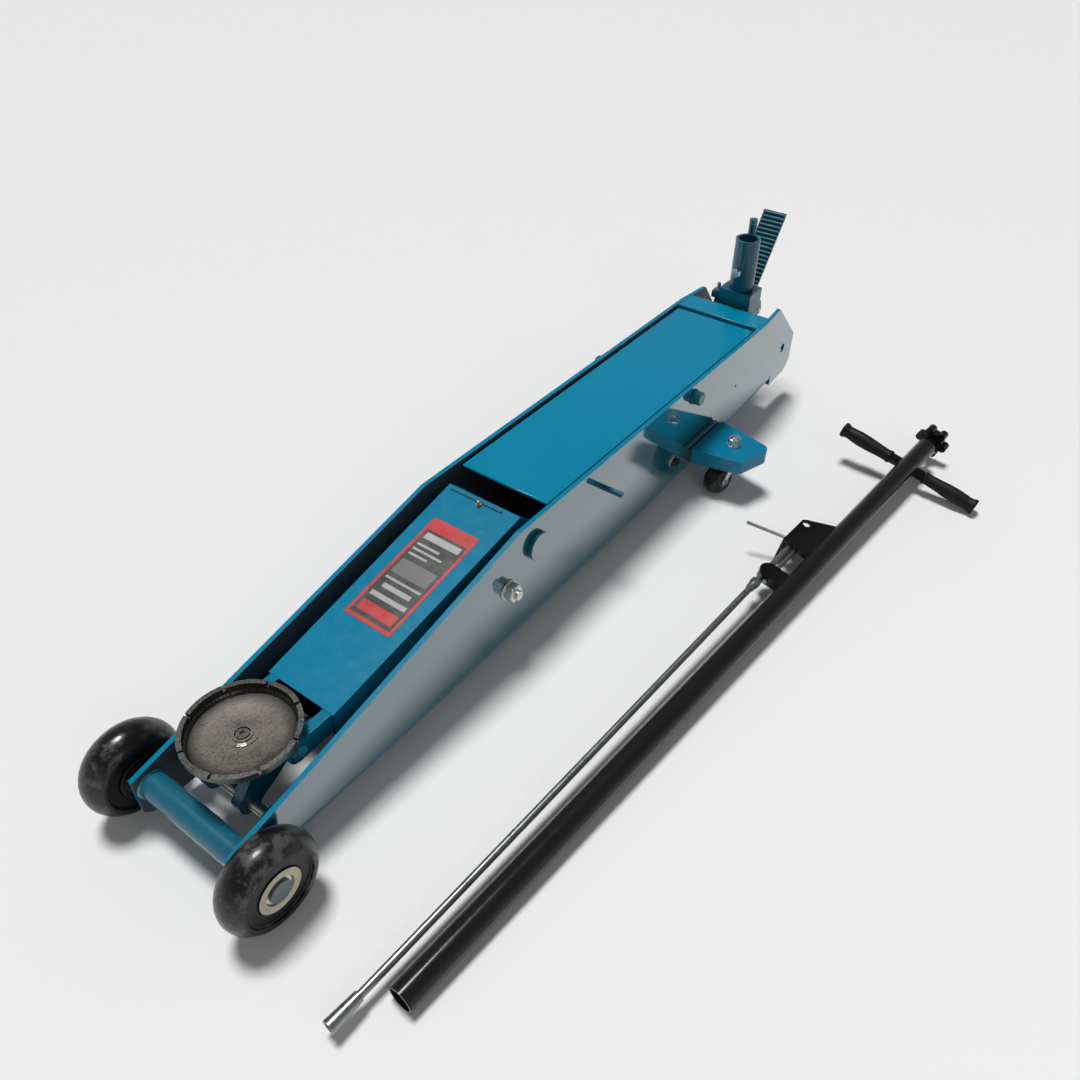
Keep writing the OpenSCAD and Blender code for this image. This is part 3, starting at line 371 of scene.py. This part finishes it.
def polish(node, width, segments=2, mats=None, pick=None):
    """The node's own shape with its corners rounded over by a width in millimetres.

    pick gives the number of a face's material in mats from the face's place and normal.
    """
    mesh = NODES[node].data.copy()
    mesh.materials.clear()
    bm = bmesh.new()
    bm.from_mesh(mesh)
    bmesh.ops.remove_doubles(bm, verts=bm.verts, dist=2e-6)
    bmesh.ops.dissolve_limit(bm, angle_limit=math.radians(0.4), verts=bm.verts, edges=bm.edges)
    for face in bm.faces:
        face.material_index = pick(face.calc_center_median(), face.normal) if pick else 0
    bm.to_mesh(mesh)
    bm.free()
    obj = link(bpy.data.objects.new(node + "_skin", mesh))
    mod = obj.modifiers.new("round", "BEVEL")
    mod.width = width / 1000
    mod.segments = segments
    mod.limit_method = "ANGLE"
    mod.angle_limit = ROUND_ABOVE
    mod.use_clamp_overlap = True
    give(obj, BODY_OF[node], slot_of(node), *(mats or [look_of(node)]))
    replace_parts(obj, node)
    return obj


def from_bmesh(name, bm):
    """A new object of a bmesh, with its faces turned outward."""
    bmesh.ops.recalc_face_normals(bm, faces=bm.faces)
    mesh = bpy.data.meshes.new(name)
    bm.to_mesh(mesh)
    bm.free()
    return link(bpy.data.objects.new(name, mesh))


def band(bm, a, b):
    """The faces between two rings of as many points."""
    count = len(a)
    for i in range(count):
        j = (i + 1) % count
        bm.faces.new((a[i], a[j], b[j], b[i]))


def lathe(name, profile, axis_point, axis, steps=64):
    """A closed solid of revolution from a closed outline of (along, radius) pairs in millimetres."""
    turn = Vector(axis).normalized().to_track_quat("Z", "Y").to_matrix()
    bm = bmesh.new()
    rings = []
    for along, radius in profile:
        ring = []
        for i in range(steps):
            a = 2 * math.pi * i / steps
            local = Vector((radius * math.cos(a), radius * math.sin(a), along)) / 1000
            ring.append(bm.verts.new(Vector(axis_point) + turn @ local))
        rings.append(ring)
    for a, b in zip(rings, rings[1:] + rings[:1]):
        band(bm, a, b)
    return from_bmesh(name, bm)


def tube(name, points, radii, steps):
    """A closed tube along points, with a radius at each point, all in metres."""
    bm = bmesh.new()
    rings = []
    across = None
    for k, point in enumerate(points):
        ahead = points[min(k + 1, len(points) - 1)] - points[max(k - 1, 0)]
        ahead.normalize()
        if across is None:
            across = ahead.orthogonal().normalized()
        across = (across - ahead * across.dot(ahead)).normalized()
        third = ahead.cross(across)
        ring = []
        for i in range(steps):
            a = 2 * math.pi * i / steps
            ring.append(bm.verts.new(point + (across * math.cos(a) + third * math.sin(a)) * radii[k]))
        rings.append(ring)
    for a, b in zip(rings, rings[1:]):
        band(bm, a, b)
    bm.faces.new(list(reversed(rings[0])))
    bm.faces.new(rings[-1])
    return from_bmesh(name, bm)


def weld(name, start, end, body, radius):
    """A painted weld bead: a tube whose radius, in millimetres, ripples with each 3 mm pass."""
    count = max(8, int((end - start).length * 1000 / 3.0 * 4))
    points = [start.lerp(end, k / count) for k in range(count + 1)]
    radii = []
    for k in range(count + 1):
        ripple = abs(math.sin(math.pi * k / 4 + 0.3 * math.sin(k)))
        radii.append(radius / 1000 * (0.86 + 0.14 * ripple))
    return give(tube(name, points, radii, 10), body, "teal_paint", MAT["bead"])


# ---------------------------------------------------------------- which face gets which material

def side_of(point):
    """1 on the jack's left side, -1 on its right side."""
    return 1 if point.y > MIDDLE_Y else -1


def plate_face(center, normal):
    """0 for a side plate's polished outer face, 1 for its edges, 2 for its inner face, which gets painted
    shade.
    """
    outward = normal.y * side_of(center)
    return 0 if outward > 0.7 else 2 if outward < -0.7 else 1


def rail_face(center, normal):
    """1 for the faces of a rail that look inward or up, which get painted shade."""
    return 1 if normal.y * side_of(center) < -0.3 or normal.z > 0.5 else 0


def arm_face(center, normal):
    """1 for the arm's underside and the inner faces of its cheeks, which get painted shade."""
    off = abs(center.y - MIDDLE_Y)
    return 1 if normal.z < -0.3 or (normal.y * side_of(center) < -0.7 and off > ARM_CHEEK_Y) else 0


def bracket_face(center, normal):
    """1 for a caster bracket's mounting bar, but for its underside; these faces get painted shade."""
    return 1 if abs(center.y - MIDDLE_Y) < BRACKET_BAR_Y and normal.z > -0.5 else 0


def end_face(center, normal):
    """1 for the outer ends of a shaft that runs across the jack."""
    return 1 if normal.y * side_of(center) > 0.9 else 0


def wheel_face(center, normal):
    """1 for the recessed middle of a front wheel's faces."""
    off_axis = Vector((center.x, center.z)) - Vector((at(0, 0, 0).x, WHEEL_R))
    return 1 if off_axis.length < WHEEL_RECESS_R and abs(normal.y) > 0.5 else 0


def bush_face(center, normal):
    """1 for all of a wheel bush but its outer end."""
    off = abs(center.y - MIDDLE_Y)
    return 0 if off > BUSH_END_Y or normal.y * side_of(center) > 0.5 else 1


def tread_face(center, normal):
    """1 for the tops of the pedal's ribs, which get a painted highlight."""
    height = (center - at(*PEDAL_PLATE)).dot(PEDAL_UP)
    return 1 if normal.dot(PEDAL_UP) > 0.9 and height > TREAD_HEIGHT else 0


def washer_face(center, normal):
    """1 for what reaches further out than the head of an end plate bolt."""
    across = Vector((center.x, center.z)) - at(*END_PLATE_BOLT).xz
    return 1 if across.length > BOLT_HEAD_R else 0


def saddle_face(center, normal):
    """1 for the saddle's wall and rim and for the wall of its boss."""
    radius = (Vector((center.x, center.y)) - at(*SADDLE_FLOOR).xy).length
    on_boss = SADDLE_BOSS_R[0] < radius < SADDLE_BOSS_R[1] and normal.z < 0.5
    return 1 if radius > SADDLE_WALL_R or on_boss else 0


def bend_tail(plate, sign):
    """Bends a side plate's upper rear corner inward along a slanting line, with a crisp fold."""
    front, rear = at(*FOLD_FRONT), at(*FOLD_REAR)
    along = (rear - front).normalized()
    up = Vector((along.z, 0, -along.x))
    on_line = 1e-5
    bm = bmesh.new()
    bm.from_mesh(plate.data)
    bmesh.ops.bisect_plane(bm, geom=bm.verts[:] + bm.edges[:] + bm.faces[:], plane_co=front, plane_no=up)
    for vert in bm.verts:
        above = (vert.co - front).dot(up)
        if above > on_line:
            vert.co.y -= sign * above * FOLD_SLOPE
    for edge in bm.edges:
        if all(abs((v.co - front).dot(up)) < on_line for v in edge.verts):
            edge.smooth = False
    bm.to_mesh(plate.data)
    bm.free()


# ---------------------------------------------------------------- skins of the CAD nodes

for side, sign in (("left", 1), ("right", -1)):
    plate_mats = [MAT["mirror"], MAT["teal"], MAT["inner"]]
    plate = polish(side + "_side_plate", 1.2, mats=plate_mats, pick=plate_face)
    bend_tail(plate, sign)
    polish(side + "_lower_rail", 0.5, mats=[MAT["rail"], MAT["inner"]], pick=rail_face)
    polish(side + "_caster_bracket", 4.2, 4, mats=[MAT["teal"], MAT["inner"]], pick=bracket_face)
polish("lift_arm", 1.5, 3, mats=[MAT["teal"], MAT["inner"]], pick=arm_face)
polish("arm_pivot_shaft", 1.2, mats=[MAT["navy"], MAT["mirror"]], pick=end_face)
polish("end_plate_bolts", 0.6, mats=[MAT["oxide"], MAT["steel"]], pick=washer_face)

# Nodes of one material, with the width of their rounding in millimetres
POLISH = {
    "top_cover": 1.5,
    "rear_cross_plate": 1.5,
    "link_rods": 1.0,
    "saddle_head": 1.5,
    "cylinder_end_plate": 1.5,
    "pump_block": 2.0,
    "handle_yoke": 1.5,
    "pedal_stay": 0.8,
    "rod_bracket": 1.2,
    "star_knob": 1.5,
    "link_bolts": 0.8,
    "trunnion_bolts": 0.8,
    "left_caster_stud": 0.6,
    "right_caster_stud": 0.6,
    "socket_bolt": 0.6,
    "front_axle": 1.0,
    "release_key": 0.6,
    "left_caster_fork": 0.6,
    "right_caster_fork": 0.6,
    "cross_bar": 0.8,
    "spring_anchor_rod": 0.8,
}
for name, width in POLISH.items():
    polish(name, width)

polish("saddle", 1.3, 3, mats=[MAT["dish"], MAT["rim"]], pick=saddle_face)
for side in ("left", "right"):
    polish(side + "_front_wheel", 1.6, 3, mats=[MAT["wheel"], MAT["recess"]], pick=wheel_face)
    polish(side + "_caster_wheel", 1.0)
    polish(side + "_wheel_bush", 0.8, mats=[MAT["cream"], MAT["recess"]], pick=bush_face)
polish("foot_pedal", 0.6, mats=[MAT["navy"], MAT["tread"]], pick=tread_face)

# ---------------------------------------------------------------- handle grips

# The handle's own axes at rest: x along the tube towards the star knob, y along the cross bar, z up
HANDLE = (Matrix.Rotation(math.radians(175.58), 3, "Z")
          @ Matrix.Rotation(math.radians(-0.985), 3, "Y")
          @ Matrix.Rotation(math.radians(10.78), 3, "X"))
CROSS_BAR_X = 1331
GRIP_Y = 36


def on_handle(x, y, z):
    """Row point of a place given in millimetres along the handle's own axes."""
    return at(*HANDLE_START) + HANDLE @ (Vector((x, y, z)) / 1000)


# A grip's closed outline, in millimetres along the cross bar and out from it: a small collar, the neck, the
# swelling under the palm, the flange, the dimple in the outer end, and the bore
GRIP = [
    (0, 8.6), (0, 11.6), (1.2, 12.8), (4.5, 12.8), (5.6, 12.0), (7, 11.6), (16, 11.6), (26, 12.0),
    (38, 12.9), (50, 13.8), (62, 14.2), (74, 14.0), (84, 13.2), (92, 12.5), (97, 12.6),
    (100, 13.6), (102, 14.8), (104, 15.0), (106.6, 15.0), (107.7, 14.2), (108, 12.6),
    (108, 3.0), (106.5, 2.0), (106.5, 0.6), (105.8, 0.4), (105.8, 8.6),
]
for name, sign in (("grip_far", -1), ("grip_near", 1)):
    grip = lathe(name, GRIP, on_handle(CROSS_BAR_X, sign * GRIP_Y, 0), HANDLE @ Vector((0, sign, 0)))
    give(grip, "handle", "grip_rubber", MAT["rubber"], smooth_deg=50)
    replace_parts(grip, "hand_grips")

# ---------------------------------------------------------------- return springs

# A spring's measures in metres, and the steps of its wire
WIRE_R = 0.0017
COIL_R = 0.0082
HOOK_R = 0.0072
SPRING_LEAD = 0.014
SPRING_TURNS = 34
POINTS_PER_TURN = 14
HOOK_STEPS = 8
HOOK_TURN = 1.15


def spring_points(rear, front):
    """The line of a spring's wire: an open hook round each end and the coil between them."""
    ahead = (front - rear).normalized()
    aside = Vector((0, 1, 0))
    upward = ahead.cross(aside).normalized()
    coil_from, coil_to = rear + ahead * SPRING_LEAD, front - ahead * SPRING_LEAD
    coil_steps = SPRING_TURNS * POINTS_PER_TURN
    points = []
    for k in range(HOOK_STEPS + 1):
        a = math.pi * (0.35 + HOOK_TURN * k / HOOK_STEPS)
        points.append(rear - ahead * math.cos(a) * HOOK_R + upward * math.sin(a) * HOOK_R)
    for k in range(coil_steps + 1):
        a = 2 * math.pi * k / POINTS_PER_TURN
        mid = coil_from.lerp(coil_to, k / coil_steps)
        points.append(mid + (aside * math.sin(a) - upward * math.cos(a)) * COIL_R)
    for k in range(HOOK_STEPS + 1):
        a = math.pi * (1.5 - HOOK_TURN * k / HOOK_STEPS)
        points.append(front + ahead * math.cos(a) * HOOK_R + upward * math.sin(a) * HOOK_R)
    return points


for sign, name in ((1, "left_return_spring"), (-1, "right_return_spring")):
    rear, front = mirrored(SPRING_REAR, sign), mirrored(SPRING_FRONT, sign)
    points = spring_points(rear, front)
    spring = tube(name, points, [WIRE_R] * len(points), 8)
    give(spring, None, slot_of("return_springs"), MAT["oxide"], smooth_deg=60)
    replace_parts(spring, "return_springs")
    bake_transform(spring)

# ---------------------------------------------------------------- label

def label_corners():
    """The label plate's top: its corners rear right, rear left, front right, front left, and its normal."""
    mesh = NODES["label_plate"].data
    up = max(mesh.polygons, key=lambda p: p.normal.z * p.area).normal
    corners = sorted({tuple(round(c, 5) for c in mesh.vertices[i].co) for p in mesh.polygons
                      if (p.normal - up).length < 0.01 for i in p.vertices})
    rear = [Vector(p) for p in sorted(corners[:2], key=lambda p: p[1])]
    front = [Vector(p) for p in sorted(corners[-2:], key=lambda p: p[1])]
    return (*rear, *front, up)


REAR_RIGHT, REAR_LEFT, FRONT_RIGHT, FRONT_LEFT, LABEL_UP = label_corners()


def label_point(u, v, height):
    """u runs from the rear end to the front, v from right to left, both 0 to 1; height is in millimetres."""
    along_right, along_left = REAR_RIGHT.lerp(FRONT_RIGHT, u), REAR_LEFT.lerp(FRONT_LEFT, u)
    return along_right.lerp(along_left, v) + LABEL_UP * height / 1000


def panel(bm, u0, u1, v0, v1, low, high, material):
    """A thin block on the label, between two heights in millimetres."""
    ring = [(u0, v0), (u1, v0), (u1, v1), (u0, v1)]
    bottom = [bm.verts.new(label_point(u, v, low)) for u, v in ring]
    upper = [bm.verts.new(label_point(u, v, high)) for u, v in ring]
    faces = [bm.faces.new(upper), bm.faces.new(list(reversed(bottom)))]
    for i in range(4):
        j = (i + 1) % 4
        faces.append(bm.faces.new((bottom[i], bottom[j], upper[j], upper[i])))
    for face in faces:
        face.material_index = material


# Plain bars in place of print: where each starts and ends along the label and across it, and its material
RED, DARK, PALE, GREY = range(4)
BARS = [
    (0.14, 0.20, 0.12, 0.88, PALE),
    (0.25, 0.27, 0.12, 0.60, PALE),
    (0.30, 0.32, 0.12, 0.74, PALE),
    (0.35, 0.37, 0.12, 0.52, PALE),
    (0.42, 0.56, 0.12, 0.88, GREY),
    (0.60, 0.62, 0.12, 0.88, PALE),
    (0.66, 0.70, 0.20, 0.80, PALE),
    (0.75, 0.79, 0.12, 0.88, PALE),
    (0.84, 0.93, 0.12, 0.88, RED),
]
bm = bmesh.new()
panel(bm, 0, 1, 0, 1, -0.6, 0.0, RED)
panel(bm, 0.115, 0.965, 0.06, 0.94, 0.0, 0.08, DARK)
for u0, u1, v0, v1, material in BARS:
    panel(bm, u0, u1, v0, v1, 0.08, 0.13, material)
label = from_bmesh("label_sheet", bm)
give(label, "arm", "label", MAT["label_red"], MAT["label_dark"], MAT["label_pale"], MAT["label_grey"])
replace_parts(label, "label_plate")

# ---------------------------------------------------------------- welds

# A weld's two ends and its radius, in millimetres
BRACKET_WELD = ((-1186, 99.6, 88.4), (-1071, 99.6, 88.4), 2.4)
RAIL_WELD = ((-62, 90.6, 47.5), (-320, 90.6, 39.8), 2.0)
ARM_WELD = ((-580, -62, 219.0), (-580, 40, 219.0), 2.6)

# The weld round each end of the front crossbar, in millimetres: its ring's radius and place, and its bead
RING_R = 20.5
RING_Y = 90.4
RING_Z = 70
RING_BEAD_R = 2.6
RING_STEPS = 72

for sign, side in ((1, "left"), (-1, "right")):
    for name, (start, end, radius) in (("_bracket_top_weld", BRACKET_WELD), ("_rail_weld", RAIL_WELD)):
        weld(side + name, mirrored(start, sign), mirrored(end, sign), "chassis", radius)
    ring, radii = [], []
    for k in range(RING_STEPS + 1):
        a = 2 * math.pi * k / RING_STEPS
        ring.append(at(RING_R * math.cos(a), RING_Y * sign, RING_Z + RING_R * math.sin(a)))
        radii.append(RING_BEAD_R / 1000 * (0.85 + 0.15 * (k % 2)))
    give(tube(side + "_crossbar_weld", ring, radii, 8), "chassis", "teal_paint", MAT["bead"])
weld("arm_ridge_weld", at(*ARM_WELD[0]), at(*ARM_WELD[1]), "arm", ARM_WELD[2])

# ---------------------------------------------------------------- the CAD nodes that stay as they are

replaced = {n for p in bpy.data.objects if p.get("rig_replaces") for n in p["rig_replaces"]}
for name, obj in NODES.items():
    if name not in replaced:
        obj.data.materials.clear()
        obj.data.materials.append(look_of(name))

# ---------------------------------------------------------------- floor, light, camera

FLOOR_HALF = 12
FLOOR_GREY = 0.84
floor_mesh = bpy.data.meshes.new("floor")
floor_corners = [(x * FLOOR_HALF, y * FLOOR_HALF, 0) for x, y in ((-1, -1), (1, -1), (1, 1), (-1, 1))]
floor_mesh.from_pydata(floor_corners, [], [(0, 1, 2, 3)])
floor = link(bpy.data.objects.new("floor", floor_mesh))
floor_mat, nodes, links, bsdf = new_material("floor")
bsdf.inputs["Base Color"].default_value = (FLOOR_GREY, FLOOR_GREY, FLOOR_GREY, 1)
bsdf.inputs["Roughness"].default_value = 0.85
bsdf.inputs["Specular IOR Level"].default_value = 0.1
floor_mesh.materials.append(floor_mat)

# A grey sky that is brightest at the horizon, so that shiny upright faces show a pale room
SKY = ((0.0, 0.62), (0.30, 0.40), (0.55, 0.14), (1.0, 0.12))
world = bpy.data.worlds.new("studio")
world.use_nodes = True
nodes, links = world.node_tree.nodes, world.node_tree.links
background = nodes["Background"]
coord = nodes.new("ShaderNodeTexCoord")
split = nodes.new("ShaderNodeSeparateXYZ")
links.new(coord.outputs["Generated"], split.inputs["Vector"])
links.new(ramp(nodes, links, split.outputs["Z"], *SKY), background.inputs["Color"])
background.inputs["Strength"].default_value = 0.9
scene.world = world


def look_along(obj, direction):
    """Turns a light or the camera so that it looks along a direction."""
    obj.rotation_euler = direction.to_track_quat("-Z", "Y").to_euler()


sun = bpy.data.lights.new("sun", "SUN")
sun.energy = 2.6
sun.angle = math.radians(16)
look_along(link(bpy.data.objects.new("sun", sun)), Vector((0.10, 0.26, -1)))

SOFTBOX_PLACE = Vector((1.6, 2.6, 2.4))
SOFTBOX_AIM = Vector((-0.2, 0.2, 0.1))
light = bpy.data.lights.new("side", "AREA")
light.shape = "RECTANGLE"
light.size = 1.6
light.size_y = 1.0
light.energy = 10
softbox = link(bpy.data.objects.new("side", light))
softbox.location = SOFTBOX_PLACE
look_along(softbox, SOFTBOX_AIM - SOFTBOX_PLACE)

YAW, PITCH = math.radians(216.80), math.radians(40.604)
camera_data = bpy.data.cameras.new("camera")
camera_data.sensor_width = 36
camera_data.lens = 30.775
camera = link(bpy.data.objects.new("camera", camera_data))
camera.location = at(266.6, 746.6, 1106.3)
heading = Vector((math.cos(YAW) * math.cos(PITCH), math.sin(YAW) * math.cos(PITCH), -math.sin(PITCH)))
look_along(camera, heading)
scene.camera = camera
scene.view_settings.view_transform = "Standard"
